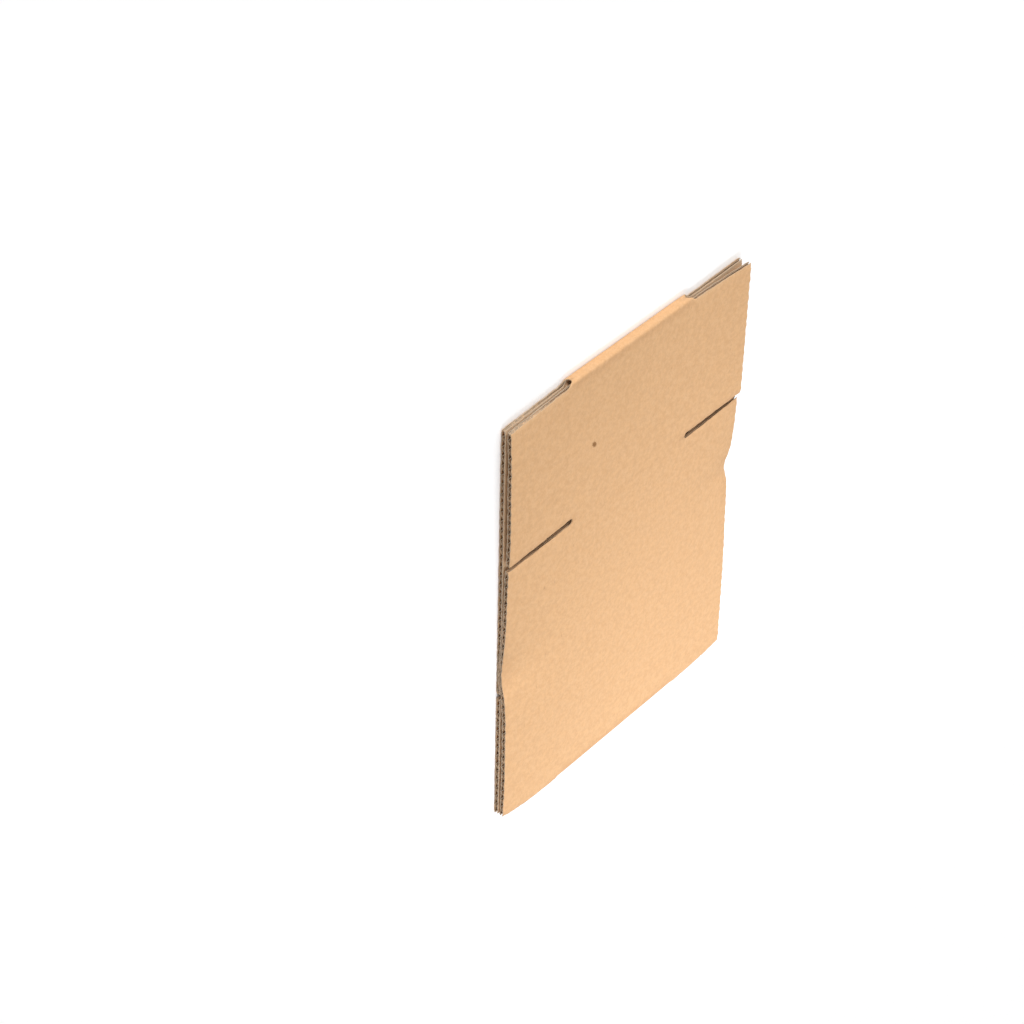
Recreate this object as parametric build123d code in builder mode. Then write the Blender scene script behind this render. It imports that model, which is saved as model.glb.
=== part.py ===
"""A flattened shipping box: one slotted sheet of single-wall corrugated board.

The sheet is folded flat at two opposite corners and closed by a glued tab at a third, so it is one
solid. It lies as it comes to rest, with its plain face up. X runs along the flutes, from one row of
raw flap edges to the other. Y runs from fold to fold, and Z is up from the surface it lies on. The
origin is on that surface, in the middle of the box. Sizes are in millimetres.
"""

from build123d import *
from math import atan2, cos, degrees, hypot, radians, sin, tan
import os

# The box
long_panel = 190.0  # fold to corner score, along Y
short_panel = 95.0  # fold to corner score, along Y
box_depth = 115.0  # flap score to flap score, along X
flap_length = short_panel / 2  # the outer flaps meet in the middle of the closed box

# The board: two liners with a wave of fluting glued between them
board = 3.1  # over both liners
liner = 0.35
fluting = 0.3
flute_pitch = 6.3
flank_angle = 42.0  # slope of the wave's straight flanks, in degrees

# Where the board is folded flat on itself
fold_gap = 0.5  # between the two layers, beside a fold
crushed_board = 1.3  # board thickness at the fold, with its flutes crushed
crush_run = 4.0  # length over which the board thins towards the fold

# The slots between flaps, and the scores that the flaps fold on
slot_width = 3.2
slot_end_radius = 1.9  # the knife leaves a slightly wider, round end
slot_overcut = 4.7  # how far a slot runs past the flap score
flap_edge_inset = 0.4  # the flaps' raw edges stop this short of the folds
score_width = 1.4  # the scores are pressed into the inner liner
score_depth = 0.2

# The glued corner, on the lower layer
tab_width = 30.0
tab_taper = 12.0  # of each end of the tab, in degrees
tab_setback = 1.5  # from the line of the slots' ends to the root of the tab
seam_gap = 1.5  # between the two panels that meet over the tab
jog_run = 1.0  # the crease rises from its panel to the tab over this length
tab_clearance = 0.3  # between the tab and the upper layer that arches over it
corner_lift = 2.0  # how far the upper layer's corner score stands above its folds

# Places that follow from these sizes
half_height = (long_panel + short_panel) / 2  # folds are at Y = +-half_height
half_width = box_depth / 2 + flap_length  # raw flap edges are at X = +-half_width
slot_end = box_depth / 2 - slot_overcut + slot_end_radius  # where its round end is centred
fold_stack = 2 * board + fold_gap
fold_radius = fold_stack / 2
fold_y = half_height - fold_radius
flat_y = fold_y - crush_run  # the board has its full thickness inside of this
edge_y = half_height - flap_edge_inset
corner_y = half_height - short_panel  # corner of the upper layer
seam_y = half_height - long_panel  # glued corner of the lower layer
tab_root_y = seam_y - seam_gap
tab_end_y = tab_root_y - tab_width
crest = 3 * board + tab_clearance

# The upper layer's top face, fold to fold: it rises to the corner and arches over the tab
arch = [
    (fold_y, fold_stack),
    (corner_y, fold_stack + corner_lift),
    (seam_y + jog_run, crest),
    (tab_end_y, crest),
    (-fold_y, fold_stack),
]


def arch_height(y):
    """Height of the upper layer's top face at y, with its end stretches carried on straight."""
    for (y0, z0), (y1, z1) in zip(arch, arch[1:]):
        if y >= y1 or y1 == -fold_y:
            return z0 + (y - y0) * (z1 - z0) / (y1 - y0)


def upper_strip(y_from, y_to, depth_from, depth_to):
    """Closed outline of the upper layer between two Y places and two depths below its top face."""
    bends = [y for y, _ in arch[1:-1] if y_to < y < y_from]
    stations = [y_from, *bends, y_to]
    near = [(y, arch_height(y) - depth_from) for y in stations]
    far = [(y, arch_height(y) - depth_to) for y in reversed(stations)]
    return [*near, *far, near[0]]


def flutes_along(middle, y_from, y_to):
    """Places of the flute channels between two Y values, counted along the middle of a layer.
    One channel opens down and the next one up, half a pitch on."""
    found = []
    count = 0
    passed = 0.0
    for (y0, z0), (y1, z1) in zip(middle, middle[1:]):
        run = hypot(y1 - y0, z1 - z0)
        turn = degrees(atan2(z0 - z1, y0 - y1))
        while count * flute_pitch / 2 < passed + run:
            share = (count * flute_pitch / 2 - passed) / run
            y = y0 + share * (y1 - y0)
            if y_to < y < y_from:
                side = 180 * (count % 2)
                found.append(Location((y, z0 + share * (z1 - z0), 0), (0, 0, turn + side)))
            count += 1
        passed += run
    return found


# The line through the middle of each layer, from the raw edge at +Y
upper_middle = [
    (edge_y, arch_height(edge_y) - board / 2),
    *[(y, z - board / 2) for y, z in arch[1:-1]],
    (-edge_y, arch_height(-edge_y) - board / 2),
]
lower_middle = [(edge_y, board / 2), (-edge_y, board / 2)]
tab_middle = [(tab_root_y, 1.5 * board), (tab_end_y, 1.5 * board)]

# One flute channel: a straight base on a liner, two flanks and a round crest. The radius follows
# from a wave of straight flanks joined by arcs that fits between the liners.
flank = radians(flank_angle)
wave_height = board - 2 * liner - fluting
middle_radius = (flute_pitch / 2 - wave_height / tan(flank)) / (
    2 * sin(flank) - 2 * (1 - cos(flank)) / tan(flank)
)
crest_radius = middle_radius - fluting / 2
crest_centre = wave_height / 2 - middle_radius
shoulder = (crest_radius * sin(flank), crest_centre + crest_radius * cos(flank))
base_z = liner - board / 2
base_y = shoulder[0] + (shoulder[1] - base_z) / tan(flank)

with BuildSketch() as flute_channel:
    with BuildLine():
        Polyline((-shoulder[0], shoulder[1]), (-base_y, base_z), (base_y, base_z), shoulder)
        ThreePointArc(shoulder, (0, crest_centre + crest_radius), (-shoulder[0], shoulder[1]))
    make_face()

with BuildPart() as flattened_box:
    # The tube of four panels between the slots' ends, folded flat
    with BuildSketch(Plane.YZ):
        with BuildLine():
            Polyline(*arch)
            ThreePointArc((-fold_y, fold_stack), (-half_height, fold_radius), (-fold_y, 0))
            Line((-fold_y, 0), (fold_y, 0))
            ThreePointArc((fold_y, 0), (half_height, fold_radius), (fold_y, fold_stack))
        make_face()
        # The space between the layers, which widens into a small loop inside each fold
        with BuildLine():
            Polyline((-fold_y, crushed_board), (-flat_y, board), (flat_y, board), (fold_y, crushed_board))
            ThreePointArc(
                (fold_y, crushed_board),
                (half_height - crushed_board, fold_radius),
                (fold_y, fold_stack - crushed_board),
            )
            Polyline(
                (fold_y, fold_stack - crushed_board),
                (flat_y, arch_height(flat_y) - board),
                *[(y, z - board) for y, z in arch[1:-1]],
                (-flat_y, arch_height(-flat_y) - board),
                (-fold_y, fold_stack - crushed_board),
            )
            ThreePointArc(
                (-fold_y, fold_stack - crushed_board),
                (crushed_board - half_height, fold_radius),
                (-fold_y, crushed_board),
            )
        make_face(mode=Mode.SUBTRACT)
        with Locations(((seam_y + tab_root_y) / 2, board / 2)):
            Rectangle(seam_gap, board, mode=Mode.SUBTRACT)
    extrude(amount=slot_end, both=True)

    # The eight flaps: each panel runs on, parted from the next by a slot
    for flap_start in (slot_end, -half_width):
        with BuildSketch(Plane.YZ.offset(flap_start)):
            for panel in (
                upper_strip(edge_y, corner_y + slot_width / 2, 0, board),
                upper_strip(corner_y - slot_width / 2, -edge_y, 0, board),
            ):
                with BuildLine():
                    Polyline(*panel)
                make_face()
            with Locations((0, board / 2)):
                Rectangle(2 * edge_y, board)
            with Locations(((seam_y + tab_root_y) / 2, board / 2)):
                Rectangle(slot_width, board, mode=Mode.SUBTRACT)
        extrude(amount=half_width - slot_end)

    # The glued tab rises from the edge of the long lower panel and lies on the short one
    with BuildPart(mode=Mode.PRIVATE) as tab:
        with BuildSketch(Plane.YZ):
            with BuildLine():
                Polyline(
                    (seam_y + jog_run, 0),
                    (seam_y, 0),
                    (tab_root_y, board),
                    (tab_end_y, board),
                    (tab_end_y, 2 * board),
                    (tab_root_y, 2 * board),
                    (seam_y + jog_run, board),
                    close=True,
                )
            make_face()
        extrude(amount=half_width, both=True)
        root_x = slot_end - tab_setback
        end_x = root_x - tab_width * tan(radians(tab_taper))
        with BuildSketch():
            with BuildLine():
                Polyline(
                    (root_x, seam_y + jog_run),
                    (root_x, tab_root_y),
                    (end_x, tab_end_y),
                    (-end_x, tab_end_y),
                    (-root_x, tab_root_y),
                    (-root_x, seam_y + jog_run),
                    close=True,
                )
            make_face()
        extrude(amount=crest, mode=Mode.INTERSECT)
    add(tab.part)

    # Round slot ends: straight down through the upper layer, and wrapped round each fold
    with BuildSketch(Plane.XY.offset(2 * board + tab_clearance / 2)):
        with Locations((slot_end, corner_y), (-slot_end, corner_y)):
            Circle(slot_end_radius)
    extrude(amount=crest, mode=Mode.SUBTRACT)
    for fold in (1, -1):
        with BuildSketch(Plane.XZ.offset(-fold * half_height)):
            with Locations((slot_end, fold_radius), (-slot_end, fold_radius)):
                Circle(slot_end_radius)
        extrude(amount=crushed_board + fold_gap, both=True, mode=Mode.SUBTRACT)

    # Flap scores on the inner face of both layers
    for side in (1, -1):
        with BuildSketch(Plane.YZ.offset(side * box_depth / 2)):
            with BuildLine():
                Polyline(*upper_strip(edge_y, -edge_y, board - score_depth, board + fold_gap / 2))
            make_face()
            with Locations((0, board)):
                Rectangle(2 * edge_y, 2 * score_depth)
        extrude(amount=score_width / 2, both=True, mode=Mode.SUBTRACT)

    # Flutes from end to end of the box, and the short ones at the flaps' raw edges
    last_flute = flat_y - base_y
    with BuildSketch(Plane.YZ):
        with Locations(
            *flutes_along(upper_middle, last_flute, -last_flute),
            *flutes_along(lower_middle, last_flute, seam_y + flute_pitch / 2),
            *flutes_along(lower_middle, tab_root_y, -last_flute),
            *flutes_along(tab_middle, tab_root_y, tab_end_y),
        ):
            add(flute_channel.sketch)
    extrude(amount=half_width, both=True, mode=Mode.SUBTRACT)
    for flap_start in (slot_end, -half_width):
        with BuildSketch(Plane.YZ.offset(flap_start)):
            with Locations(
                *flutes_along(upper_middle, edge_y, last_flute),
                *flutes_along(upper_middle, -last_flute, -edge_y),
                *flutes_along(lower_middle, edge_y, last_flute),
                *flutes_along(lower_middle, -last_flute, -edge_y),
            ):
                add(flute_channel.sketch)
        extrude(amount=half_width - slot_end, mode=Mode.SUBTRACT)

print("volume", round(flattened_box.part.volume), "solids", len(flattened_box.part.solids()))
print("size", flattened_box.part.bounding_box().size)
flattened_box.part.label = "flattened_box"
os.makedirs("parts", exist_ok=True)
export_step(flattened_box.part, "parts/flattened_box.step")
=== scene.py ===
# %% [markdown]
# # A flattened shipping box of corrugated board
#
# The real object is one sheet of single-wall board: an outer liner, a wavy fluting and an inner
# liner, glued into one sheet, slotted, scored, folded flat at two corners and glued at a third.
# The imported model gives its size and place. This lesson dresses it in three thin papers that
# follow the same folds and slots, so that every raw edge shows real flutes.

from math import cos, pi, radians, sin

import bpy
import numpy as np
from mathutils import Matrix, Vector


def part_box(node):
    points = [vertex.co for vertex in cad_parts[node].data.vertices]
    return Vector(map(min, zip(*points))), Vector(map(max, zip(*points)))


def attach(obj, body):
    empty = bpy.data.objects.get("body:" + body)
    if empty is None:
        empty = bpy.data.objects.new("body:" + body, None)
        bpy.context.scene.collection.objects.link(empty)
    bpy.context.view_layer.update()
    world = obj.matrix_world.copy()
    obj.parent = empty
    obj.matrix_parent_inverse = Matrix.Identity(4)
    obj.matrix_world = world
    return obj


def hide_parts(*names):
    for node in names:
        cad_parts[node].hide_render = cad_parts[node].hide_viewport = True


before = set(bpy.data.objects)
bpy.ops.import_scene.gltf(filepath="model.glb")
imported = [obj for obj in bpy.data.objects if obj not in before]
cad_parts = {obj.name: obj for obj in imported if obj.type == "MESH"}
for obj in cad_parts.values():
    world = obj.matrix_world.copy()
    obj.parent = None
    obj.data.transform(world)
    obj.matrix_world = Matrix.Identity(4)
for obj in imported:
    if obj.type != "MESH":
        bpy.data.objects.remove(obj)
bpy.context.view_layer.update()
box_lo, box_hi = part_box("flattened_box")
print("packed box from", [round(v, 4) for v in box_lo], "to", [round(v, 4) for v in box_hi])

# %% [markdown]
# ## The sizes of the sheet
#
# A box maker's drawing needs only a few sizes, and the rest follows from them. All lengths are in
# millimetres until a mesh is written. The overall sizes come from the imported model, and the
# others are the sizes that the board and the die give.

# %% Name the sizes
MM = 0.001
HALF_X = box_hi.x / MM  # raw flap edges, at the ends of the flutes
HALF_Y = box_hi.y / MM  # outermost line of each fold
CREST = box_hi.z / MM  # top of the upper layer, over the glued tab
BOARD = 3.1
FOLD_GAP = 0.5  # between the two layers, beside a fold
SHORT_PANEL = 95.0
SEAM_GAP = 1.5  # between the two lower panels, over the tab
TAB_WIDTH = 30.0
SLOT_OVERCUT = 6.2  # the knives' cuts run on 1.5 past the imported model's

LONG_PANEL = 2 * HALF_Y - SHORT_PANEL
FLAP = SHORT_PANEL / 2
FOLD_STACK = 2 * BOARD + FOLD_GAP
FOLD_RADIUS = FOLD_STACK / 2
FOLD_Y = HALF_Y - FOLD_RADIUS
QUARTER = pi * FOLD_RADIUS / 2  # from the fold's outermost line to where the sheet lies flat
CORNER_Y = HALF_Y - SHORT_PANEL
SEAM_Y = HALF_Y - LONG_PANEL
TAB_ROOT_Y = SEAM_Y - SEAM_GAP
TAB_END_Y = TAB_ROOT_Y - TAB_WIDTH
FLAP_SCORE_X = HALF_X - FLAP
SLOT_TIP_X = FLAP_SCORE_X - SLOT_OVERCUT
print("panels", round(LONG_PANEL, 2), SHORT_PANEL, "flap", FLAP, "fold radius", FOLD_RADIUS)

# %% [markdown]
# ## How high the upper layer stands
#
# The upper layer rises from each fold to the corner score, and arches over the glued tab. A cloth
# simulation could find such a shape, but a height worked out from Y is exact and the same each
# time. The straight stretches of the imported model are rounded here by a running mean, because
# card bends more softly than that. The fold at -Y has sprung open a little.

# %% Arch of the upper layer
FOLD_LIFT = {-1: 0.9, 1: 0.0}  # how far each fold has sprung open
CORNER_LIFT = 2.0  # how far the corner score stands above the folds
JOG_RUN = 1.0  # the lower layer rises to the tab over this length
ARCH_Y = np.array([-FOLD_Y, TAB_END_Y, SEAM_Y + JOG_RUN, CORNER_Y, FOLD_Y])
ARCH_Z = np.array([FOLD_STACK + FOLD_LIFT[-1], CREST, CREST, FOLD_STACK + CORNER_LIFT, FOLD_STACK])
ARCH_ROUNDING = np.linspace(-9, 9, 13)


def straight_arch(y):
    """The straight stretches of the upper face, with the end ones carried on past the folds."""
    slopes = np.diff(ARCH_Z) / np.diff(ARCH_Y)
    below = np.minimum(y - ARCH_Y[0], 0) * slopes[0]
    above = np.maximum(y - ARCH_Y[-1], 0) * slopes[-1]
    return np.interp(y, ARCH_Y, ARCH_Z) + below + above


def running_mean(height, y, offsets):
    """The mean of a function of y at these offsets on both sides of y."""
    return sum(height(y + offset) for offset in offsets) / len(offsets)


for y in (-FOLD_Y, TAB_END_Y, CORNER_Y, FOLD_Y):
    print("arch at y", round(y, 1), "is", running_mean(straight_arch, y, ARCH_ROUNDING).round(2), "high")

# %% [markdown]
# ## Flaps that have been handled
#
# The flaps are loose: from its score outwards each one bends towards the height of its own raw
# edge. The long panel's flaps have been pressed down, hardest in one narrow place on each side,
# and the short panel's stand a little proud, the one at +X most. Proportional editing could pull
# them there by hand. A few bends along each raw edge say the same in numbers that can be changed.

# %% Heights of the raw edges
RAW_EDGES = {  # side and panel: y and z of bends in the upper face's raw edge, from -Y to +Y
    (-1, "long"): ((-142, 6.8), (-110, 7.7), (-64, 7.4), (-49, 6.4), (-37, 3.8), (-26, 3.9),
                   (-14, 5.3), (3, 6.4), (47, 7.3)),
    (1, "long"): ((-142, 6.3), (-85, 5.9), (-58, 5.2), (-38, 4.5), (-16, 4.1), (-4, 3.0),
                  (8, 5.0), (26, 6.3), (47, 6.9)),
    (-1, "short"): ((48, 8.0), (75, 8.4), (120, 7.9), (142, 6.9)),
    (1, "short"): ((48, 9.0), (142, 9.4)),
}
EDGE_ROUNDING = np.linspace(-5, 5, 9)


def raw_edge(y, side, panel):
    """Height of a raw edge: straight between its bends, then rounded by a running mean."""
    at, height = np.array(RAW_EDGES[side, panel]).T
    return running_mean(lambda place: np.interp(place, at, height), y, EDGE_ROUNDING)


for side in (-1, 1):
    lowest = raw_edge(np.linspace(-HALF_Y, CORNER_Y), side, "long").min().round(2)
    print("long panel's raw edge on side", side, "comes down to", lowest)

# %% Height of the upper face
BEND_START_X = FLAP_SCORE_X - 3  # a flap starts to bend a little before its score
BEND_POWER = 1.4  # 1 is a straight slope out to the raw edge, 2 an even curve
WAVE = 0.05  # height of each of two faint waves in the panels
WAVE_LENGTHS = ((23, 61), (-41, 17))  # of each wave along X and along Y, over 2 pi


def mix(first, second, share):
    """The first where the share is 0, the second where it is 1, and straight between."""
    return first + (second - first) * share


def face_height(x, y, long_panel):
    """Upper face: the rounded arch less the waves, bent by a power of the way from the flap
    scores towards the heights of the raw edges."""
    arch = running_mean(straight_arch, y, ARCH_ROUNDING)
    waves = WAVE * sum(1 + np.sin(x / in_x + y / in_y) for in_x, in_y in WAVE_LENGTHS)
    long_edge = np.where(x < 0, raw_edge(y, -1, "long"), raw_edge(y, 1, "long"))
    short_edge = np.where(x < 0, raw_edge(y, -1, "short"), raw_edge(y, 1, "short"))
    bend = np.clip((np.abs(x) - BEND_START_X) / (HALF_X - BEND_START_X), 0, 1) ** BEND_POWER
    return mix(arch - waves, np.where(long_panel, long_edge, short_edge), bend)


print("upper face at the corner", round(float(face_height(0.0, CORNER_Y, False)), 2),
      "and over the tab", round(float(face_height(0.0, -60.0, True)), 2))

# %% [markdown]
# ## The sheet as a grid
#
# The four panels make one grid. Its columns run along the flutes, and each knows its distance
# from the outermost line of its fold. Its rows lie across the flutes, close together at the slot
# ends and the raw edges. The slots could be cut with booleans, which leave long thin triangles.
# Here nothing is cut out: the two columns that meet at a corner are one column between the slot
# tips, and part beyond them by the slot's half width.
#
# The fluting needs many columns for its wave. The liners need more rows, because the slotting
# knives leave ragged cuts, so each paper has a grid of its own.

# %% Rows and columns of the grid
PITCH = 6.3  # one wave of the fluting
GRIDS = {  # paper: step between columns, rows across a flap, seed of its ragged cuts
    "outer_liner": (PITCH / 5, 20, 11),
    "fluting": (PITCH / 9, 5, 23),
    "inner_liner": (PITCH / 5, 20, 37),
}
SLOT_RADIUS = 1.9  # of the round end that a knife leaves
MIDDLE_ROWS = 7  # from the middle of the box to a slot's tip
ROUND_ROWS = 7  # along a slot's round end
SCORE_ROWS = np.array([-1.4, 0, 1.4, 4.0])  # from a flap score outwards
EDGE_ROWS = np.array([2.6, 1.2, 0.5, 0])  # from a raw edge inwards
FINE_REACH = 7.5  # columns are closer together this near to a fold
FINE_COLUMNS = 15


def grid_rows(flap_rows):
    """X of the rows: even in the middle, on a circle's cosines round the slot end, then even
    across the flap and closer again at the raw edge."""
    middle = np.linspace(0, SLOT_TIP_X, MIDDLE_ROWS, endpoint=False)
    round_end = SLOT_TIP_X + SLOT_RADIUS * (1 - np.cos(np.linspace(0, pi / 2, ROUND_ROWS)))
    score = FLAP_SCORE_X + SCORE_ROWS
    edge = HALF_X - EDGE_ROWS
    flap = np.linspace(score[-1], edge[0], flap_rows + 1, endpoint=False)[1:]
    half = np.concatenate([middle, round_end, score, flap, edge])
    return np.concatenate([-half[:0:-1], half])


def grid_columns(reach, step):
    """Distances from the fold's outermost line to the panel's far edge."""
    fine = np.linspace(0, FINE_REACH, FINE_COLUMNS, endpoint=False)
    count = round((reach - FINE_REACH) / step)
    return np.concatenate([fine, np.linspace(FINE_REACH, reach, count + 1)])


PANELS = (  # name, side of its fold, upper layer or not, reach from its fold
    ("long lower panel", 1, False, FOLD_Y + QUARTER - SEAM_Y),
    ("short upper panel", 1, True, FOLD_Y + QUARTER - CORNER_Y),
    ("long upper panel", -1, True, FOLD_Y + QUARTER + CORNER_Y),
    ("short lower panel", -1, False, FOLD_Y + QUARTER + TAB_ROOT_Y),
)
for name, (step, flap_rows, _) in GRIDS.items():
    columns = [len(grid_columns(reach, step)) for *_, reach in PANELS]
    print(name, len(grid_rows(flap_rows)), "rows and", columns, "columns")

# %% [markdown]
# ## The slots
#
# A slotter's knives cut between the flaps, at each corner and at each fold. A slot starts with a
# round end and then runs to the raw edge, where it is wider or narrower. The upper corner slots
# are skewed, as on any box whose sheet went through the machine a little askew. The knives tear
# the board as much as they cut it, which random noise imitates. A displacement texture could fray
# the edges too, but the noise here moves only the cuts.

# %% Widths of the slots
SLOT_HALF = 1.6
SLOT_HALF_AT_EDGE = {-1: 1.8, 1: 2.3}  # the pressed flaps leave the slots wider there
LOWER_SLOT_HALF = 0.85  # beyond the seam gap, on each side
FOLD_SLOTS = {  # side in X, side of the fold: how far the flaps stop short, inside and at the edge
    (-1, -1): (0.4, 4.2),
    (1, -1): (0.4, 1.8),
    (-1, 1): (2.4, 4.6),
    (1, 1): (3.0, 2.0),
}
FOLD_SLOT_TAPER = {-1: 3, 1: 1}  # straight beside the fold at +Y, worn round at the other
SLOT_SETTLE = 1.5  # past its round end a slot comes to its own width over about this length


def slot_half_width(x, end_radius, half, half_at_edge, power=1):
    """Half the slot's width along x: a quarter circle at its tip, then a run that changes with a
    power of the way to the edge."""
    run = np.abs(x) - SLOT_TIP_X
    circle = np.sqrt(np.clip(end_radius**2 - (end_radius - run) ** 2, 0, None))
    past = np.clip(run - end_radius, 0, None)
    own = mix(end_radius, half, 1 - np.exp(-past / SLOT_SETTLE))
    taper = (past / (HALF_X - SLOT_TIP_X - end_radius)) ** power
    straight = own + (half_at_edge - half) * taper
    return np.where(run <= 0, 0, np.where(run < end_radius, circle, straight))


slot_ends = slot_half_width(np.array([SLOT_TIP_X, HALF_X]), SLOT_RADIUS, SLOT_HALF, SLOT_HALF_AT_EDGE[1])
print("half width of a corner slot at its tip and at the edge", slot_ends.round(2))

# %% Skew and tears of the cuts
SLOT_SKEW = {-1: (1.6, -1.2), 1: (0.8, 0.8)}  # towards +Y, at the slot's tip and at the raw edge
SKEW_REACH = 25.0  # the sheet leans towards a skewed slot from this far before its tip
FRAY = 0.45  # the cuts are ragged by up to this
FRAY_RUN = 3.0  # and become so over this length past the round end


def smooth_step(t):
    """0 below t = 0, 1 above t = 1, and the cubic 3t^2 - 2t^3 between."""
    t = np.clip(t, 0, 1)
    return t * t * (3 - 2 * t)


def slot_skew(x):
    """How far off the corner an upper slot's middle lies: it fades in before the tip, then runs
    straight to the raw edge."""
    at_tip, at_edge = np.where(x[:, None] < 0, SLOT_SKEW[-1], SLOT_SKEW[1]).T
    run = np.abs(x) - SLOT_TIP_X
    way = np.clip(run / (HALF_X - SLOT_TIP_X), 0, 1)
    return smooth_step(1 + run / SKEW_REACH) * mix(at_tip, at_edge, way)


def ragged_cut(random, count):
    """How far a cut stops short at each place: the square of even noise, up to FRAY."""
    return FRAY * random.uniform(0, 1, count) ** 2


def panel_cuts(side, upper, rows, random):
    """How far a panel stops short of its corner and of its fold, along its rows."""
    if upper:
        at_edge = np.where(rows < 0, SLOT_HALF_AT_EDGE[-1], SLOT_HALF_AT_EDGE[1])
        corner = slot_half_width(rows, SLOT_RADIUS, SLOT_HALF, at_edge) + side * slot_skew(rows)
    else:
        corner = slot_half_width(rows, LOWER_SLOT_HALF, LOWER_SLOT_HALF, LOWER_SLOT_HALF)
    short = np.where(rows[:, None] < 0, FOLD_SLOTS[-1, side], FOLD_SLOTS[1, side])
    inside, at_edge = short.T + QUARTER - FOLD_RADIUS  # a flat flap needs less sheet than the fold
    fold = slot_half_width(rows, SLOT_RADIUS, inside, at_edge, FOLD_SLOT_TAPER[side])
    torn = smooth_step((np.abs(rows) - SLOT_TIP_X - SLOT_RADIUS) / FRAY_RUN)
    corner = corner + torn * ragged_cut(random, len(rows))
    fold = fold + torn * ragged_cut(random, len(rows))
    return corner, fold


print("skew at the raw edges", slot_skew(np.array([-HALF_X, HALF_X])))

# %% [markdown]
# ## From the grid to points
#
# Between the slots a column near a fold goes round a superellipse, a half circle with a shoulder
# on each side, since the creasing ridge leaves two bends. Past the slots it lies in the plane of
# its flap. The two places are mixed over a short flare, as the real board opens there. A bend
# modifier would turn the whole sheet alike, with no such change along the fold.

# %% Surface of a panel
FLARE = 6.0  # the board opens from the fold to the flat flap over this length
FOLD_SQUARENESS = {-1: 2.8, 1: 5.0}  # 2 is a half circle, more has a shoulder on each side
FOLD_SETTLE = 30.0  # past a fold the upper layer comes to the height of the face over this length
LOWER_WAVE = 0.03  # the lower layer rises off the floor by up to twice this
LOWER_WAVE_LENGTHS = (19, 47)  # along the flutes and across them, over 2 pi
LOWER_WAVE_RUN = 20.0  # the wave grows over this length from a fold


def panel_surface(x, d, side, upper, flare):
    """Y and z of the outer surface: round the fold's superellipse, then on along the face or the
    floor. The flare mixes in the flap's plane."""
    turn = np.clip((QUARTER - d) / FOLD_RADIUS, 0, pi / 2)
    power = FOLD_SQUARENESS[side]
    radius = FOLD_RADIUS / (np.cos(turn) ** power + np.sin(turn) ** power) ** (1 / power)
    sprung = 1 + FOLD_LIFT[side] / FOLD_STACK
    flat_y = side * (FOLD_Y + QUARTER - d)
    fold_y = side * (FOLD_Y + radius * np.sin(turn) - np.clip(d - QUARTER, 0, None))
    if upper:
        flat_z = face_height(x, flat_y, side < 0)
        face = face_height(x, fold_y, side < 0)
        at_fold = face_height(x, np.full_like(x, side * FOLD_Y), side < 0)
        fold_z = (FOLD_RADIUS + radius * np.cos(turn)) * sprung + face - at_fold
        fold_z = mix(fold_z, face, smooth_step((d - QUARTER) / FOLD_SETTLE))
    else:
        in_x, in_y = LOWER_WAVE_LENGTHS
        wave = LOWER_WAVE * (1 + np.sin(x / in_x + d / in_y))
        flat_z = wave * smooth_step((d - QUARTER) / LOWER_WAVE_RUN)
        fold_z = (FOLD_RADIUS - radius * np.cos(turn)) * sprung + flat_z
    return np.stack([mix(fold_y, flat_y, flare), mix(fold_z, flat_z, flare)])


for side in (-1, 1):
    y, z = panel_surface(np.zeros(1), np.zeros(1), side, True, 0)
    print("outermost line of the fold on side", side, "at y", y.round(2), "z", z.round(2))

# %% [markdown]
# ## How thick the board is
#
# The board is crushed at the folds and pressed by the scores, and it is squeezed where the upper
# layer is pressed down until both boards touch. Solidify gives a sheet one thickness. Here each
# point has its own, which all three papers share.

# %% Thickness of the board
CRUSHED = 1.3  # at a fold
CRUSH_RUN = 4.0
SCORE_DEPTH = 0.35
FLAP_SCORE_HALF = 1.3
CORNER_SCORE_HALF = 1.5
TOUCHING = 0.03  # half the gap where both boards touch


def bell(away, half):
    """1 in the middle, falling off as the exponential of minus the square of away over half."""
    return np.exp(-((away / half) ** 2))


def board_thickness(x, y, d, side, upper, flare):
    """Crushed board at the fold grows to full board, less the scores, and it never takes more
    than half of the room below the upper face."""
    crush = mix(CRUSHED, BOARD, smooth_step((d - QUARTER) / CRUSH_RUN))
    thick = mix(crush, BOARD, flare) - SCORE_DEPTH * bell(np.abs(x) - FLAP_SCORE_X, FLAP_SCORE_HALF)
    if upper:
        thick -= SCORE_DEPTH * (1 - flare) * bell(y - CORNER_Y, CORNER_SCORE_HALF)
        under_long = side < 0
    else:
        under_long = y < CORNER_Y
    room = face_height(x, y, under_long) / 2 - TOUCHING
    return np.where(d > QUARTER, np.minimum(thick, room), thick)


mid_panel = board_thickness(np.zeros(1), np.full(1, 90.0), np.full(1, 50.0), 1, True, 0)
print("board in the middle of the short upper panel", mid_panel.round(2))

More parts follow.
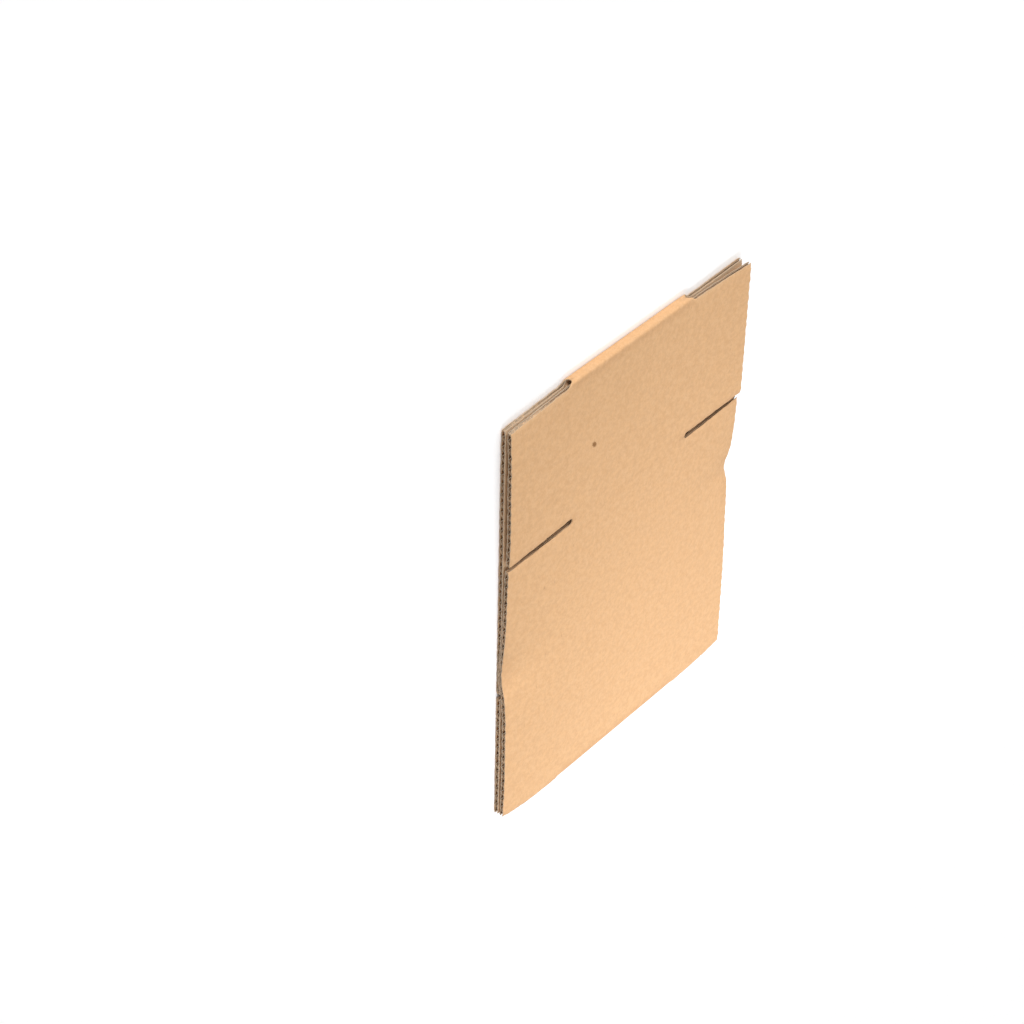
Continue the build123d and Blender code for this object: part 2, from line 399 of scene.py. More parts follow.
# %% One panel's grid
SLOT_REACH = 10.0  # columns this near to a slot make room for it
NUDGE = 0.05  # a step along the sheet, to measure its slope
CLOSE = 1e-6  # for telling whether two places are the same
EDGE_INSET = 0.4
EDGE_Y = HALF_Y - EDGE_INSET  # the flutes are counted from here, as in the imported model


def panel_grid(side, upper, reach, rows, step, random):
    """Arrays over (column, row) for one panel: the outer surface's y and z, the direction out of
    the board, its thickness, its place along the flutes' pitch, and the distances to a slot and
    to a raw end."""
    corner, fold = panel_cuts(side, upper, rows, random)
    column = grid_columns(reach, step)[:, None]
    near_fold = np.clip(1 - column / SLOT_REACH, 0, 1)
    near_corner = np.clip(1 - (reach - column) / SLOT_REACH, 0, 1)
    d = column + fold * near_fold - corner * near_corner
    x = np.broadcast_to(rows, d.shape)
    flare = smooth_step((np.abs(x) - SLOT_TIP_X) / FLARE)
    y, z = panel_surface(x, d, side, upper, flare)
    along = panel_surface(x, d + NUDGE, side, upper, flare)
    along -= panel_surface(x, d - NUDGE, side, upper, flare)
    along /= np.hypot(*along)
    way = side if upper else -side
    out = way * np.stack([along[1], -along[0]])
    thick = board_thickness(x, y, d, side, upper, flare)
    pitch = (EDGE_Y - side * (FOLD_Y + QUARTER - d)) / PITCH
    to_side = np.minimum(d - fold, reach - corner - d)
    to_slot = np.hypot(to_side, np.clip(SLOT_TIP_X - np.abs(x), 0, None))
    return dict(x=x, y=y, z=z, out=out, thick=thick, pitch=pitch, slot=to_slot,
                end=HALF_X - np.abs(x), upper=np.full(d.shape, 1.0 if upper else -1.0))


def whole_sheet(rows, step, seed):
    """The four panels side by side in loop order, and the number of each grid point. Columns that
    meet at a fold or at the upper corner share their points between the slot tips."""
    random = np.random.default_rng(seed)
    grids = [panel_grid(*panel[1:], rows, step, random) for panel in PANELS]
    for k in (0, 2):  # these run from their far edge to their fold, the others from fold to edge
        grids[k] = {name: a[..., ::-1, :] for name, a in grids[k].items()}
    counts = [g["x"].shape[0] for g in grids]
    sheet = {name: np.concatenate([g[name] for g in grids], axis=-2) for name in grids[0]}
    number = np.arange(sum(counts) * len(rows)).reshape(sum(counts), len(rows))
    shared = np.abs(rows) <= SLOT_TIP_X + CLOSE
    for joint in np.cumsum(counts)[:-1]:
        number[joint, shared] = number[joint - 1, shared]
    return sheet, number, counts


SHEETS = {}
for name, (step, flap_rows, seed) in GRIDS.items():
    SHEETS[name] = whole_sheet(grid_rows(flap_rows), step, seed)
    thick = SHEETS[name][0]["thick"]
    print(name, "grid", thick.shape, "board", thick.min().round(2), "to", thick.max().round(2))

# %% [markdown]
# ## Three papers from one grid
#
# A paper lies at some depth below the sheet's outer surface. The liners lie at the two faces and
# sag a little between the crests that they are glued to, which gives the faint washboard. At the
# raw ends they sag more, and along the slots the knives have pressed both liners inwards. The
# fluting's depth is a cosine between them, one period to a pitch. A bump map could fake the
# washboard, but only real depths give raw edges that can be looked into.

# %% Depths of the papers
LINER = 0.35
FLUTING = 0.3
WASHBOARD = 0.06  # sag between the crests
SCALLOP, SCALLOP_RUN = 0.25, 0.9  # extra sag at a raw end, and how far in it fades
WORN, WORN_RUN = 0.12, 0.7  # both liners are worn round by this at a raw end
LIP, LIP_RUN = 0.3, 1.2  # how far each liner is pressed in along a slot


def paper_depths(sheet):
    """Depths of both faces of the outer liner, the fluting and the inner liner. The fluting is
    made thicker by its slope, so that it keeps its thickness across the wave."""
    swing = np.cos(2 * pi * sheet["pitch"]) * sheet["upper"]
    slope = np.sin(2 * pi * sheet["pitch"])
    lip = LIP * np.exp(-sheet["slot"] / LIP_RUN)
    sag = WASHBOARD + SCALLOP * np.exp(-sheet["end"] / SCALLOP_RUN)
    pressed_in = WORN * np.exp(-sheet["end"] / WORN_RUN) + lip
    sag_out = sag * (1 - swing) / 2 + pressed_in
    sag_in = sag * (1 + swing) / 2 + pressed_in
    thick = sheet["thick"]
    swell = np.clip((thick - 2 * LINER - FLUTING) / 2 - lip, 0, None)
    middle = thick / 2 - swell * swing
    half = FLUTING / 2 * np.sqrt(1 + (2 * pi * swell / PITCH * slope) ** 2)
    return {
        "outer_liner": (sag_out, LINER + sag_out),
        "fluting": (middle - half, middle + half),
        "inner_liner": (thick - LINER - sag_in, thick - sag_in),
    }


for name, (top, bottom) in paper_depths(SHEETS["outer_liner"][0]).items():
    print(name, "lies", top.min().round(2), "to", bottom.max().round(2), "below the face")

# %% Ragged ends and the dent
KNOT = 2.2  # spacing of the noise along a raw end
DENT_Y = -4.0  # here the raw edge at +X is crushed in
DENT_HALF = 9.0
DENT_DEPTH = 3.2
DENT_REACH = 14.0


def ragged_ends(shape, step, seed):
    """How far the two outer rows stop short of the cut: straight runs between ragged knots."""
    random = np.random.default_rng(seed)
    fray = np.zeros(shape)
    place = np.arange(shape[0]) * step / KNOT
    for row in (0, -1):
        knots = ragged_cut(random, int(place[-1]) + 2)
        fray[:, row] = np.interp(place, np.arange(len(knots)), knots)
    return fray


def dent(x, y):
    """How far the board at +X is crushed in: a bell along the raw edge, fading as a square."""
    inwards = np.clip((x - HALF_X + DENT_REACH) / DENT_REACH, 0, 1) ** 2
    return DENT_DEPTH * inwards * bell(y - DENT_Y, DENT_HALF)


def points_at(sheet, depth, fray):
    """Points at a depth below the outer surface, with ragged raw edges and the dent."""
    x = sheet["x"] - np.sign(sheet["x"]) * fray - dent(sheet["x"], sheet["y"])
    y = sheet["y"] - sheet["out"][0] * depth
    z = sheet["z"] - sheet["out"][1] * depth
    return np.stack([x, y, z], -1)


print("dent at the raw edge and 10 inside", [round(float(dent(HALF_X - i, DENT_Y)), 2) for i in (0, 10)])

# %% [markdown]
# ## A closed shell for each paper
#
# A real paper has two faces and cut edges all round, and a closed mesh has them too. It is two
# surfaces on the same grid and a rim, which is found as the edges that only one face uses.
#
# Marks go with the mesh for its finish. Two are on the points: how near a point is to a cut, and
# how hard the board is pressed. One is on the rim's faces: 1 at the raw ends, 0.4 along the
# corner slots, where the paler cut paints light into the slots' shaded inside, and 0.9 along the
# slots at the folds, whose cuts are darker. A painted mask could do that, but marks follow the
# shape when it changes.

# %% Marks of cuts and pressed board
# the cuts are tinted darker near the folds, and paler along the corner slots, which paints light into
# their shaded inside
FOLD_TINT_FROM, FOLD_TINT_TO = 110, 130  # distance from the middle, along Y
RIM_AT_SLOT, RIM_AT_FOLD = 0.4, 0.9
NEAR_AT_SLOT, NEAR_AT_FOLD = 0.6, 1.0  # strength of near_cut along a slot
SLOT_RUN, FOLD_CUT_RUN = 1.2, 3.7  # how far in from a slot near_cut fades
END_RUN = 1.2  # and how far in from a raw end
END_REACH = 1.5  # a rim this near to the dent's deepest place still belongs to a raw end


def toward_folds(y):
    """0 in the middle of the box and 1 near its folds, where the cuts are tinted darker."""
    return smooth_step((np.abs(y) - FOLD_TINT_FROM) / (FOLD_TINT_TO - FOLD_TINT_FROM))


def point_marks(sheet):
    """near_cut fades inwards from a raw end and, less strongly, from a slot. pressed is 0 on full
    board and 1 when crushed."""
    fold_share = toward_folds(sheet["y"])
    at_slot = mix(NEAR_AT_SLOT, NEAR_AT_FOLD, fold_share) * np.exp(-sheet["slot"] / mix(SLOT_RUN, FOLD_CUT_RUN, fold_share))
    return {
        "near_cut": np.maximum(np.exp(-sheet["end"] / END_RUN), at_slot),
        "pressed": np.clip((BOARD - sheet["thick"]) / (BOARD - CRUSHED), 0, 1),
    }


def rim_marks(corners):
    """1 for rim faces at the raw ends, less along a slot, which paints light into a corner slot's
    shaded inside, and more again near the folds.
    """
    at_end = np.abs(corners[..., 0]).min(axis=1) > HALF_X - DENT_DEPTH - END_REACH
    return np.where(at_end, 1.0, mix(RIM_AT_SLOT, RIM_AT_FOLD, toward_folds(corners[..., 1].mean(axis=1))))


for name, mark in point_marks(SHEETS["outer_liner"][0]).items():
    print(name, "has a mean of", mark.mean().round(3))

# %% Close two surfaces into a paper
SHARP_ANGLE = radians(55)  # a rim meets the faces more sharply than this


def quads_of(number, counts):
    """Corner numbers of the faces, which never bridge the line between two panels."""
    keep = np.ones(number.shape[0] - 1, bool)
    keep[np.cumsum(counts)[:-1] - 1] = False
    quads = np.stack([number[:-1, :-1], number[:-1, 1:], number[1:, 1:], number[1:, :-1]], -1)
    return quads[keep].reshape(-1, 4)


def closed_shell(name, outer, inner, number, counts, marks):
    """A mesh from two surfaces on the same grid. Its rim joins the edges that one face uses."""
    used, quads = np.unique(quads_of(number, counts), return_inverse=True)
    quads = quads.reshape(-1, 4)
    total = len(used)
    points = np.concatenate([outer.reshape(-1, 3)[used], inner.reshape(-1, 3)[used]])
    start, end = quads.ravel(), np.roll(quads, -1, axis=1).ravel()
    lone = ~np.isin(start * total + end, end * total + start)
    rim = np.stack([end, start, start + total, end + total], -1)[lone]
    faces = np.concatenate([quads, quads[:, ::-1] + total, rim])
    mesh = bpy.data.meshes.new(name)
    mesh.from_pydata((points * MM).tolist(), [], faces.tolist())
    for mark, values in marks.items():
        on_points = values.reshape(-1)[used].astype(np.float32)
        layer = mesh.attributes.new(mark, "FLOAT", "POINT")
        layer.data.foreach_set("value", np.concatenate([on_points, on_points]))
    on_faces = np.concatenate([np.zeros(2 * len(quads)), rim_marks(points[rim])])
    mesh.attributes.new("rim", "FLOAT", "FACE").data.foreach_set("value", on_faces)
    mesh.shade_smooth()
    mesh.set_sharp_from_angle(angle=SHARP_ANGLE)
    piece = bpy.data.objects.new(name, mesh)
    bpy.context.scene.collection.objects.link(piece)
    print(name, len(points), "points", 2 * len(faces), "triangles", len(rim), "rim faces")
    return piece


papers = {}
for name, (sheet, number, counts) in SHEETS.items():
    step, _, seed = GRIDS[name]
    fray = ragged_ends(number.shape, step, seed)
    surfaces = [points_at(sheet, depth, fray) for depth in paper_depths(sheet)[name]]
    papers[name] = closed_shell(name, *surfaces, number, counts, point_marks(sheet))

# %% [markdown]
# ## The glued tab
#
# The long lower panel ends in a tab that steps up by one board and is glued inside the short
# panel. It could be one more panel of the grid, but its ends taper. So it is a small sheet of its
# own: its rows are spread between two slanted ends, and its step is a smooth cubic over the seam
# gap. It has the same three papers.

# %% Make the tab
TAB_TAPER = radians(12)  # of each end
TAB_RISE = BOARD + 0.02  # one board and a film of glue
TAB_CRUSH, TAB_CRUSH_RUN = 0.25, 1.5  # the board is pressed where it steps up
STEP_ROWS, FLAT_ROWS, ACROSS = 9, 46, 25  # points of the tab's grid


def tab_sheet():
    """The tab's grid, from the seam to its free edge, in the same terms as the panels."""
    step = np.linspace(0, SEAM_GAP, STEP_ROWS, endpoint=False)
    flat = np.linspace(SEAM_GAP, SEAM_GAP + TAB_WIDTH, FLAT_ROWS)
    run = np.concatenate([step, flat])[:, None]
    half = SLOT_TIP_X + SLOT_RADIUS - np.clip(run - SEAM_GAP, 0, None) * np.tan(TAB_TAPER)
    x = np.linspace(-1, 1, ACROSS) * half
    run = np.broadcast_to(run, x.shape)
    y = SEAM_Y - run
    way = run / SEAM_GAP
    slope = TAB_RISE * np.where(way < 1, 6 * way * (1 - way), 0) / SEAM_GAP
    out = np.stack([-slope, np.full_like(slope, -1)]) / np.hypot(1, slope)
    return dict(x=x, y=y, z=TAB_RISE * smooth_step(way), out=out,
                thick=BOARD - TAB_CRUSH * np.exp(-run / TAB_CRUSH_RUN), pitch=(EDGE_Y - y) / PITCH,
                slot=SEAM_GAP + TAB_WIDTH - run, end=half - np.abs(x), upper=np.full(x.shape, -1.0))


TAB = tab_sheet()
TAB_NUMBER = np.arange(TAB["x"].size).reshape(TAB["x"].shape)[:, ::-1]
tab_parts = []
for name, depths in paper_depths(TAB).items():
    surfaces = [points_at(TAB, depth, 0) for depth in depths]
    part = closed_shell("tab_" + name, *surfaces, TAB_NUMBER, [len(TAB_NUMBER)], point_marks(TAB))
    tab_parts.append(part)

# %% [markdown]
# ## Small tools for node trees
#
# A finish could be drawn in the shader editor. Here the script builds it, so that all of it can
# be read and changed in one place. A few helpers keep that short: they add a node, fill its
# inputs with sockets or plain values, and hand back its result.

# %% Helpers for nodes


def new_group(name, inputs, outputs):
    """An empty shader group with named sockets, and its input and output nodes."""
    group = bpy.data.node_groups.new(name, "ShaderNodeTree")
    for title, kind, value in inputs:
        group.interface.new_socket(title, in_out="INPUT", socket_type=kind).default_value = value
    for title, kind in outputs:
        group.interface.new_socket(title, in_out="OUTPUT", socket_type=kind)
    return group, group.nodes.new("NodeGroupInput"), group.nodes.new("NodeGroupOutput")


def fill(tree, slot, value):
    """Links a socket to an input, or gives the input a plain value."""
    if isinstance(value, bpy.types.NodeSocket):
        tree.links.new(value, slot)
    else:
        slot.default_value = value


def add_node(tree, kind, values=None, **settings):
    """A node with its settings, and its inputs filled with sockets or plain values."""
    node = tree.nodes.new(kind)
    for key, value in settings.items():
        setattr(node, key, value)
    for key, value in (values or {}).items():
        fill(tree, node.inputs[key], value)
    return node


def calculate(tree, operation, first, second):
    """A Math node's result."""
    return add_node(tree, "ShaderNodeMath", {0: first, 1: second}, operation=operation).outputs[0]


def weigh(tree, first, first_share, second, second_share):
    """The sum of two values, each times its share."""
    return calculate(tree, "ADD", calculate(tree, "MULTIPLY", first, first_share),
                     calculate(tree, "MULTIPLY", second, second_share))


def spread(tree, value, low, high, to_low=0.0, to_high=1.0):
    """A Map Range node's result, clamped, with a smooth middle."""
    node = add_node(tree, "ShaderNodeMapRange", {0: value, 1: low, 2: high, 3: to_low, 4: to_high},
                    interpolation_type="SMOOTHSTEP")
    return node.outputs[0]


def noise(tree, vector, scale, detail, stretch=(1, 1, 1), offset=(0, 0, 0), rough=0.5):
    """Noise on a stretched and shifted copy of the coordinates."""
    place = add_node(tree, "ShaderNodeMapping",
                     {"Vector": vector, "Scale": stretch, "Location": offset})
    settings = {"Vector": place.outputs[0], "Scale": scale, "Detail": detail, "Roughness": rough}
    return add_node(tree, "ShaderNodeTexNoise", settings).outputs["Fac"]


def mix_colours(tree, amount, first, second, blend="MIX"):
    """A colour Mix node's result."""
    node = add_node(tree, "ShaderNodeMix", data_type="RGBA", blend_type=blend)
    for slot, value in zip((node.inputs[0], node.inputs[6], node.inputs[7]), (amount, first, second)):
        fill(tree, slot, value)
    return node.outputs[2]


HELPERS = (new_group, fill, add_node, calculate, weigh, spread, noise, mix_colours)
print("helpers", [helper.__name__ for helper in HELPERS])

# %% [markdown]
# ## Paper that looks like kraft
#
# Kraft liner is matt brown paper with a cloudy tone, fibres that lie a little more along the
# machine's direction than across it, and a few dark shives. A photographed texture would repeat
# and would fix the light in it. This group works all of it out from the object's own
# coordinates, and every paper places it with its own colours. Scales are in features per metre.

# %% Build the paper's group
WARM_TINT = (1.012, 0.994, 0.96, 1)
SHIVE_BROWN = (0.16, 0.09, 0.045, 1)
PALE_FIBRE = (0.85, 0.62, 0.4, 1)


def kraft_group():
    """Colour, roughness and height of brown paper, from object coordinates: clouds and fibres mix
    the two tones, slow noise warms them, and the peaks of two noises are shives and pale fibres."""
    group, source, result = new_group(
        "kraft_paper",
        [
            ("Tone", "NodeSocketColor", (0.7, 0.43, 0.23, 1)),
            ("Deep Tone", "NodeSocketColor", (0.55, 0.32, 0.16, 1)),
            ("Shives", "NodeSocketFloat", 1.0),
        ],
        [("Color", "NodeSocketColor"), ("Roughness", "NodeSocketFloat"), ("Height", "NodeSocketFloat")],
    )
    where = group.nodes.new("ShaderNodeTexCoord").outputs["Object"]
    clouds = noise(group, where, 330, 4, offset=(0.3, 0.1, 0.7), rough=0.8)
    hue = noise(group, where, 300, 3, offset=(0.7, 0.5, 0.2), rough=0.6)
    grain = noise(group, where, 1500, 3, offset=(0.9, 0.4, 0.2))
    along = noise(group, where, 1300, 4, stretch=(1, 0.45, 1), offset=(0.5, 0.2, 0.6))
    across = noise(group, where, 1100, 3, stretch=(0.6, 1, 1), offset=(0.1, 0.8, 0.4))
    shives = noise(group, where, 520, 2, stretch=(1, 0.3, 1), offset=(0.2, 0.9, 0.3))
    fibres = weigh(group, along, 0.6, across, 0.4)

    amount = spread(group, weigh(group, clouds, 0.7, fibres, 0.3), 0.38, 0.62)
    colour = mix_colours(group, amount, source.outputs["Deep Tone"], source.outputs["Tone"])
    colour = mix_colours(group, spread(group, hue, 0.35, 0.65), colour, WARM_TINT, "MULTIPLY")
    mask = calculate(group, "MULTIPLY", spread(group, shives, 0.71, 0.78), source.outputs["Shives"])
    colour = mix_colours(group, calculate(group, "MULTIPLY", mask, 0.45), colour, SHIVE_BROWN)
    colour = mix_colours(group, spread(group, along, 0.66, 0.76, 0, 0.15), colour, PALE_FIBRE)
    fill(group, result.inputs["Color"], colour)
    fill(group, result.inputs["Roughness"], spread(group, fibres, 0.3, 0.7, 0.94, 0.8))
    fill(group, result.inputs["Height"], weigh(group, fibres, 0.6, grain, 0.4))
    return group


KRAFT = kraft_group()
print("group", KRAFT.name, "with", len(KRAFT.nodes), "nodes")

# %% [markdown]
# ## Cut and pressed board
#
# A cut bares raw fibres, which are greyer and darker than the sized face. Pressed board is darkened
# too, partly its own darker tone and partly painted shade in the folds and scores. Edge wear is often
# found from the shape's curvature. The marks already say where each cut is, so this group only
# blends in the raw colour there and breaks it up with noise.

# %% Build the cut edges' group
# painted shade in folds and scores, partly the crushed board's own darker tone
CREASE_SHADE_TINT = (0.42, 0.25, 0.12, 1)


def cut_edge_group():
    """Tints a colour on the rims and near them, where raw fibres show, and darkens it where board is
    pressed: partly the crushed board's own tone, partly painted shade in folds and scores.
    """
    group, source, result = new_group(
        "cut_edge",
        [
            ("Color", "NodeSocketColor", (0.5, 0.5, 0.5, 1)),
            ("Raw", "NodeSocketColor", (0.8, 0.6, 0.4, 1)),
            ("Fringe", "NodeSocketFloat", 0.6),
            ("Crease Shade", "NodeSocketFloat", 0.25),
        ],
        [("Color", "NodeSocketColor")],
    )
    near, pressed, rim = (
        add_node(group, "ShaderNodeAttribute", attribute_name=mark).outputs["Fac"]
        for mark in ("near_cut", "pressed", "rim")
    )
    where = group.nodes.new("ShaderNodeTexCoord").outputs["Object"]
    torn = spread(group, noise(group, where, 700, 3), 0.3, 0.6)
    ragged = calculate(group, "MULTIPLY", spread(group, near, 0.35, 0.95), torn)
    fringe = calculate(group, "MULTIPLY", ragged, source.outputs["Fringe"])
    amount = calculate(group, "MAXIMUM", fringe, rim)
    colour = mix_colours(group, amount, source.outputs["Color"], source.outputs["Raw"])
    # painted shade where the board is pressed: in folds and scores, partly its own darker tone
    shade = calculate(group, "MULTIPLY", pressed, source.outputs["Crease Shade"])
    colour = mix_colours(group, shade, colour, CREASE_SHADE_TINT, "MULTIPLY")
    fill(group, result.inputs["Color"], colour)
    return group


CUT_EDGE = cut_edge_group()
print("group", CUT_EDGE.name, "with", len(CUT_EDGE.nodes), "nodes")

# %% [markdown]
# ## Three papers, three materials
#
# The outer liner is the warmest brown. The inner liner and the fluting are greyer, and the cut
# fluting is the darkest, which makes the raw edges dark. One material with a switch would do,
# but three are plainer. Each places the groups and then hands their colour, roughness and height
# to its own Principled BSDF.

# %% Build the materials


def paper_material(name, tone, deep, raw, shives, fringe, crease_shade, bump):
    """A matt paper from the two groups, with fibre relief of the given height in metres."""
    material = bpy.data.materials.new(name)
    material.use_nodes = True
    tree = material.node_tree
    tree.nodes.clear()
    kraft = add_node(tree, "ShaderNodeGroup", node_tree=KRAFT)
    fill(tree, kraft.inputs["Tone"], (*tone, 1))
    fill(tree, kraft.inputs["Deep Tone"], (*deep, 1))
    fill(tree, kraft.inputs["Shives"], shives)
    edge = add_node(tree, "ShaderNodeGroup", node_tree=CUT_EDGE)
    fill(tree, edge.inputs["Color"], kraft.outputs["Color"])
    fill(tree, edge.inputs["Raw"], (*raw, 1))
    fill(tree, edge.inputs["Fringe"], fringe)
    # painted shade in folds and scores, partly the crushed board's own darker tone
    fill(tree, edge.inputs["Crease Shade"], crease_shade)
    relief = {"Strength": 0.3, "Distance": bump, "Height": kraft.outputs["Height"]}
    finish = {
        "Base Color": edge.outputs["Color"],
        "Roughness": kraft.outputs["Roughness"],
        "Specular IOR Level": 0.25,
        "Normal": add_node(tree, "ShaderNodeBump", relief).outputs["Normal"],
    }
    shader = add_node(tree, "ShaderNodeBsdfPrincipled", finish)
    add_node(tree, "ShaderNodeOutputMaterial", {"Surface": shader.outputs[0]})
    return material


MATERIALS = {
    "outer_liner": paper_material(
        "kraft_outside", tone=(0.64, 0.392, 0.206), deep=(0.57, 0.341, 0.173),
        raw=(0.42, 0.315, 0.21), shives=0.4, fringe=0.15, crease_shade=0.1, bump=0.0001),
    "inner_liner": paper_material(
        "kraft_inside", tone=(0.62, 0.43, 0.27), deep=(0.55, 0.375, 0.225),
        raw=(0.42, 0.323, 0.23), shives=1.0, fringe=0.9, crease_shade=0.2, bump=0.0002),
    "fluting": paper_material(
        "fluting_paper", tone=(0.64, 0.44, 0.27), deep=(0.56, 0.38, 0.23),
        raw=(0.32, 0.248, 0.178), shives=1.4, fringe=0.9, crease_shade=0.2, bump=0.0004),
}
for name, piece in papers.items():
    piece.data.materials.append(MATERIALS[name])
for name, piece in zip(paper_depths(TAB), tab_parts):
    piece.data.materials.append(MATERIALS[name])
print("materials", [m.name for m in MATERIALS.values()])

# %% [markdown]
# ## One chip of bark
#
# Pulp keeps a few chips of bark. One of them lies in the short upper panel, a dark spot of about
# three millimetres by four and a half that lies askew. It could be a small piece of mesh, but it
# is pressed into the paper. So it is a mask in the outer liner's colour: the distance from the
# chip's middle, turned and divided by the chip's half sizes, made uneven by noise, and only on
# the upper face.

# %% Add the chip
CHIP_MIDDLE = (-0.0332, 0.0908, 0)  # metres, like all of a shader's coordinates
CHIP_TURN = (0, 0, radians(-50))
CHIP_HALF_SIZES = (0.0023, 0.0015, 1)
CHIP_BROWN = (0.26, 0.13, 0.048, 1)
ONLY_ABOVE = 0.005  # metres, between the two layers


def chip_group():
    """Mask of one spot on the upper face: 1 in its middle, and 0 a little past its half sizes."""
    group, source, result = new_group(
        "bark_chip",
        [
            ("Middle", "NodeSocketVector", (0, 0, 0)),
            ("Turn", "NodeSocketVector", (0, 0, 0)),
            ("Half Sizes", "NodeSocketVector", (0.001, 0.002, 1)),
        ],
        [("Mask", "NodeSocketFloat")],
    )
    where = group.nodes.new("ShaderNodeTexCoord").outputs["Object"]
    values = {"Vector": where, "Location": source.outputs["Middle"],
              "Rotation": source.outputs["Turn"], "Scale": source.outputs["Half Sizes"]}
    local = add_node(group, "ShaderNodeMapping", values, vector_type="TEXTURE").outputs["Vector"]
    away = add_node(group, "ShaderNodeVectorMath", {0: local}, operation="LENGTH").outputs["Value"]
    uneven = calculate(group, "MULTIPLY", noise(group, where, 900, 2), 0.8)
    mask = spread(group, calculate(group, "ADD", away, uneven), 1.0, 1.7, 1, 0)
    height = add_node(group, "ShaderNodeSeparateXYZ", {0: where}).outputs["Z"]
    on_top = calculate(group, "GREATER_THAN", height, ONLY_ABOVE)
    fill(group, result.inputs["Mask"], calculate(group, "MULTIPLY", mask, on_top))
    return group


def add_chip(material):
    """Lays the chip's brown over the material's base colour."""
    tree = material.node_tree
    shader = next(node for node in tree.nodes if node.type == "BSDF_PRINCIPLED")
    base = shader.inputs["Base Color"].links[0].from_socket
    chip = add_node(tree, "ShaderNodeGroup", node_tree=chip_group())
    fill(tree, chip.inputs["Middle"], CHIP_MIDDLE)
    fill(tree, chip.inputs["Turn"], CHIP_TURN)
    fill(tree, chip.inputs["Half Sizes"], CHIP_HALF_SIZES)
    colour = mix_colours(tree, chip.outputs["Mask"], base, CHIP_BROWN)
    fill(tree, shader.inputs["Base Color"], colour)


add_chip(MATERIALS["outer_liner"])
print("chip in", MATERIALS["outer_liner"].name)

# %% [markdown]
# ## Put the pieces on the frame
#
# The three layers of the tab become one piece, because they are glued into one and are small.
# Each piece rides on the box's only body, and together they stand for the imported solid, which
# is hidden.

# %% Join the tab and attach every piece


def join_as(name, parts):
    """One mesh from several, in their order, with their materials and marks kept."""
    with bpy.context.temp_override(
        active_object=parts[0], selected_editable_objects=parts, selected_objects=parts
    ):
        bpy.ops.object.join()
    parts[0].name = parts[0].data.name = name
    return parts[0]


papers["glue_tab"] = join_as("glue_tab", tab_parts)
for piece in papers.values():
    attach(piece, "root")
    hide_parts("flattened_box")
print("pieces", sorted(papers))

# %% [markdown]
# ## Floor and light
#
# The box lies on a plain pale floor, as in a product picture. A soft sun stands beyond the upper
# fold, so it lights that fold most, reaches into the slots and leaves the raw edges on the left
# darkest. A pale sky fills the rest, and a wide spot from the other end makes the face brighter
# towards the lower fold. Area lamps would do as well, but a sun is the same at any distance.

# %% Make the floor
FLOOR_HALF = 6.0
FLOOR_DROP = 0.0003  # just below the box, so that the two never share a plane
FLOOR_FINISH = {"Base Color": (0.99, 0.99, 0.99, 1), "Roughness": 0.9, "Specular IOR Level": 0.1}

floor_mesh = bpy.data.meshes.new("floor")
floor_corners = [(-1, -1), (1, -1), (1, 1), (-1, 1)]
floor_mesh.from_pydata([(u * FLOOR_HALF, v * FLOOR_HALF, -FLOOR_DROP) for u, v in floor_corners],
                       [], [(0, 1, 2, 3)])
floor = bpy.data.objects.new("floor", floor_mesh)
bpy.context.scene.collection.objects.link(floor)
floor_material = bpy.data.materials.new("pale_floor")
floor_material.use_nodes = True
floor_shader = floor_material.node_tree.nodes["Principled BSDF"]
for title, value in FLOOR_FINISH.items():
    floor_shader.inputs[title].default_value = value
floor_mesh.materials.append(floor_material)
print("floor", 2 * FLOOR_HALF, "metres wide")

# %% Light the scene
SKY_STRENGTH = 0.745


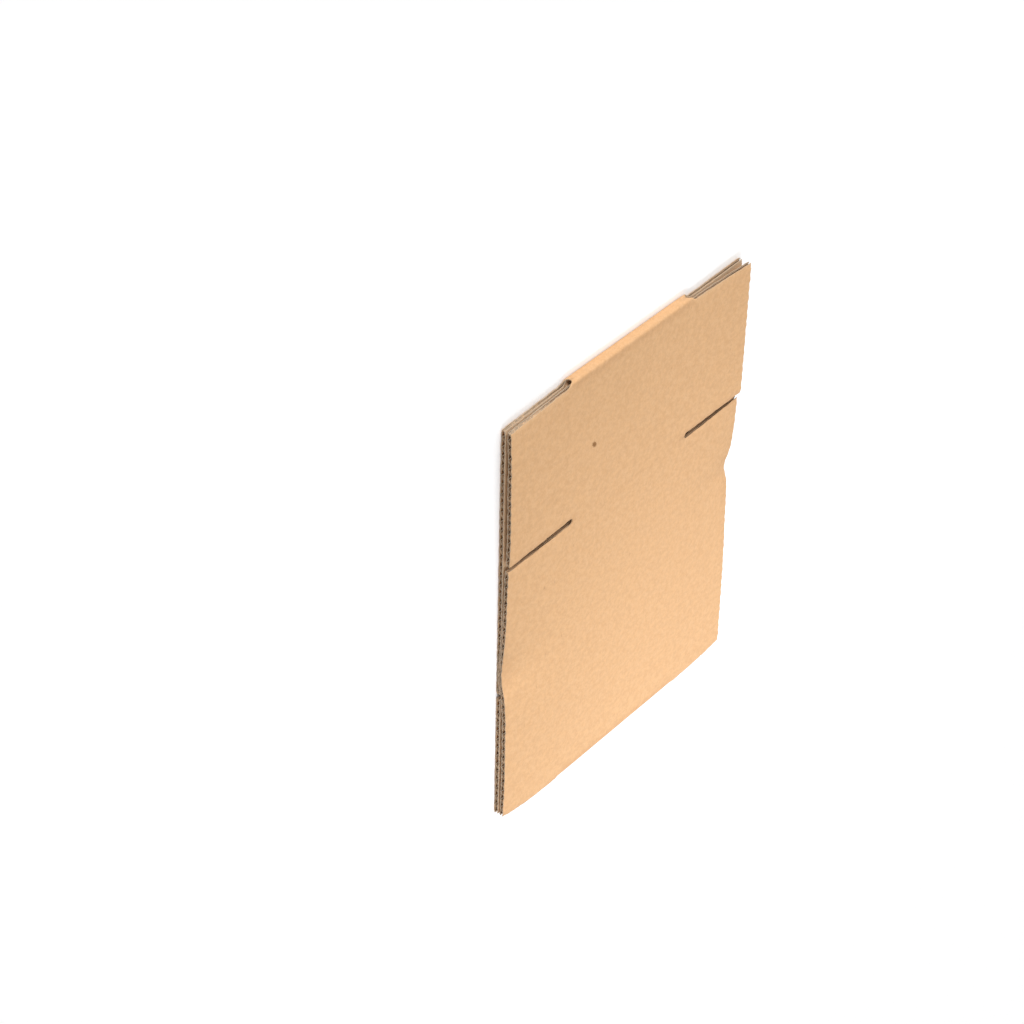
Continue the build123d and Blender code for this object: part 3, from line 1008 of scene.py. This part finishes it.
def add_lamp(name, kind, place, target, energy, **settings):
    """A lamp at a place, turned towards a target, with its energy and other settings."""
    light = bpy.data.lights.new(name, kind)
    light.energy = energy
    for key, value in settings.items():
        setattr(light, key, value)
    lamp = bpy.data.objects.new(name, light)
    lamp.location = place
    lamp.rotation_euler = (Vector(target) - Vector(place)).to_track_quat("-Z", "Y").to_euler()
    bpy.context.scene.collection.objects.link(lamp)
    return lamp


key = add_lamp("key", "SUN", place=(0, 1.88, 0.68), target=(0, 0, 0), energy=2.52,
               angle=radians(25))
pool = add_lamp("pool", "SPOT", place=(-0.4, -0.7, 1.5), target=(0.03, -0.2, 0), energy=134,
                spot_size=radians(19), spot_blend=1, shadow_soft_size=0.25, color=(0.97, 1, 1.09))
world = bpy.data.worlds.new("pale_sky")
world.use_nodes = True
sky = world.node_tree.nodes["Background"]
sky.inputs["Color"].default_value = (1, 1, 1, 1)
sky.inputs["Strength"].default_value = SKY_STRENGTH
bpy.context.scene.world = world
bpy.context.scene.view_settings.view_transform = "Standard"
print("lamps", key.name, pool.name, "and", world.name)

# %% [markdown]
# ## The camera
#
# The camera looks down on the plain face from the side, with a long lens, and is rolled so that
# the short panel is up. A Track To constraint would aim it, but would also choose its roll. So
# its three axes are worked out from the angles and put into its matrix.

# %% Aim the camera
SENSOR = 36.0  # millimetres
LENS = 106.7
AIM = Vector((-0.10053, 0.08292, 0.005))
DISTANCE = 1.6195
AZIMUTH = radians(-135.385)
ELEVATION = radians(29.373)
ROLL = radians(117.682)

towards_camera = Vector((sin(AZIMUTH) * cos(ELEVATION), -cos(AZIMUTH) * cos(ELEVATION), sin(ELEVATION)))
level_right = (-towards_camera).cross(Vector((0, 0, 1))).normalized()
level_up = level_right.cross(-towards_camera)
right = level_right * cos(ROLL) + level_up * sin(ROLL)
up = right.cross(-towards_camera)
camera_data = bpy.data.cameras.new("camera")
camera_data.sensor_width = SENSOR
camera_data.lens = LENS
camera_data.clip_start, camera_data.clip_end = 0.05, 20
camera = bpy.data.objects.new("camera", camera_data)
axes = Matrix((right, up, towards_camera)).transposed().to_4x4()
camera.matrix_world = Matrix.Translation(AIM + towards_camera * DISTANCE) @ axes
bpy.context.scene.collection.objects.link(camera)
bpy.context.scene.camera = camera
print("camera at", [round(v, 3) for v in camera.matrix_world.translation])
